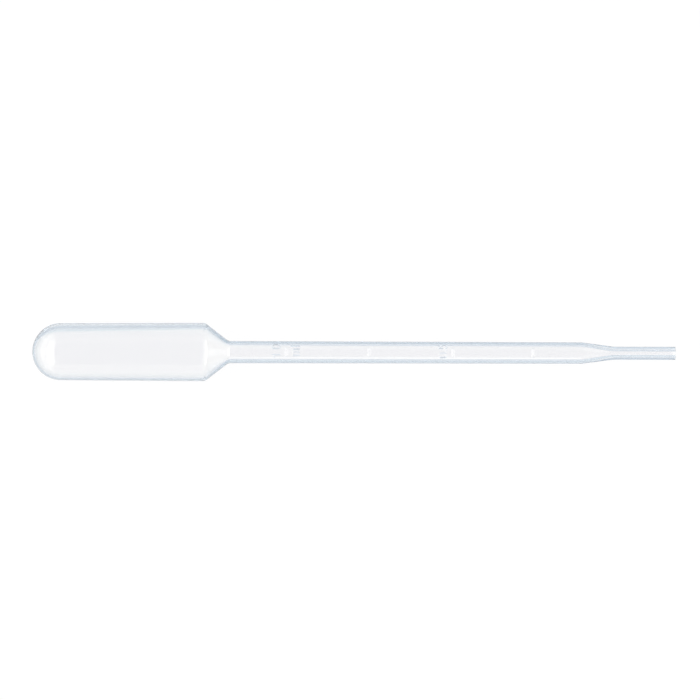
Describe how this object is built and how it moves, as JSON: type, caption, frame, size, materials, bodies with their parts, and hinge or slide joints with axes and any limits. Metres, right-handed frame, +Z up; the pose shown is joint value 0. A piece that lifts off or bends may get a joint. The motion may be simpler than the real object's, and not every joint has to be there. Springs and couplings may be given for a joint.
{
  "type": "dropper pipette",
  "caption": "One-piece squeeze-bulb dropper pipette: domed bulb, conical shoulder, long stem with raised volume marks and a narrow open tip, lying as it rests.",
  "frame": {"origin": "middle of the bounding box on the surface that the pipette lies on", "axes": "+X from the bulb's dome to the open tip, +Z up, with the volume marks facing up; the pipette rests on the edge of its shoulder, where the soft bulb has a small flat spot, and on the lower edge of its tip, so its axis falls 2.70 degrees towards the tip"},
  "size_m": [0.1599, 0.0144, 0.0159],
  "materials": {
    "pipette": "translucent milky polyethylene, moulded, soft gloss"
  },
  "bodies": {
    "root": {"pipette": "pipette"}
  },
  "joints": []
}
